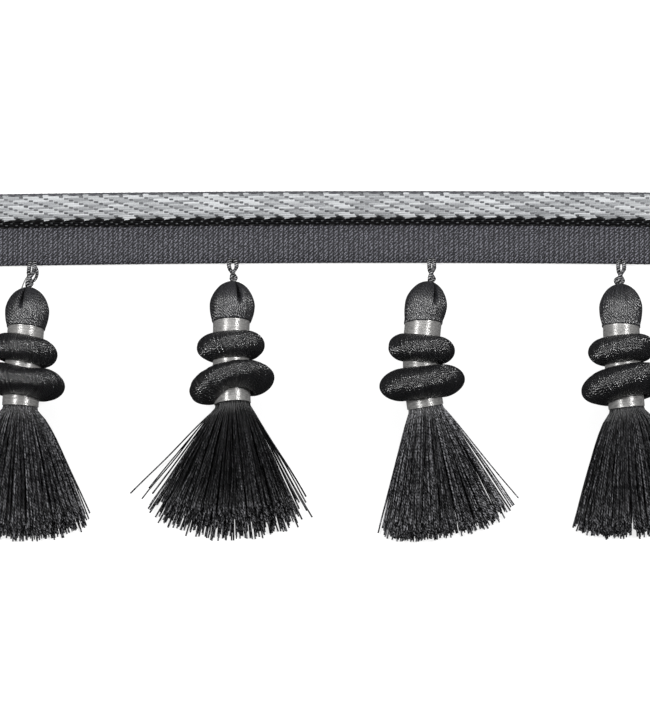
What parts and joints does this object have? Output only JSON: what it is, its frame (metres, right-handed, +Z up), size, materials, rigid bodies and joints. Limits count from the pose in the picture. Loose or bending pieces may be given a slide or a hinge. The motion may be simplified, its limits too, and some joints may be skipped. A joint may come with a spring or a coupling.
{
  "type": "tassel fringe trim",
  "caption": "Woven trim tape with a silver braided band, hung with round-headed tassels that have wound rings, silver necks and yarn skirts, lying flat.",
  "frame": {"origin": "middle of the tape's flat back face, on the surface the trim lies on", "axes": "+X along the tape, +Y from the tassels to the tape's free edge, +Z up out of the tape's front"},
  "size_m": [0.236, 0.105, 0.0252],
  "materials": {
    "woven_tape": "woven, matt",
    "tassel_yarn": "twisted yarn, soft sheen",
    "wound_thread": "wound thread, soft sheen",
    "silver_thread": "metallic thread, shiny",
    "twisted_cord": "two-ply cord with metallic thread"
  },
  "bodies": {
    "root": {"tape": "woven_tape", "tassel_1_hanger": "twisted_cord", "tassel_1_yarn": "tassel_yarn", "tassel_1_binding": "silver_thread", "tassel_1_ring_upper": "wound_thread", "tassel_1_ring_lower": "wound_thread", "tassel_2_hanger": "twisted_cord", "tassel_2_yarn": "tassel_yarn", "tassel_2_binding": "silver_thread", "tassel_2_ring_upper": "wound_thread", "tassel_2_ring_lower": "wound_thread", "tassel_3_hanger": "twisted_cord", "tassel_3_yarn": "tassel_yarn", "tassel_3_binding": "silver_thread", "tassel_3_ring_upper": "wound_thread", "tassel_3_ring_lower": "wound_thread", "tassel_4_hanger": "twisted_cord", "tassel_4_yarn": "tassel_yarn", "tassel_4_binding": "silver_thread", "tassel_4_ring_upper": "wound_thread", "tassel_4_ring_lower": "wound_thread"}
  },
  "joints": []
}
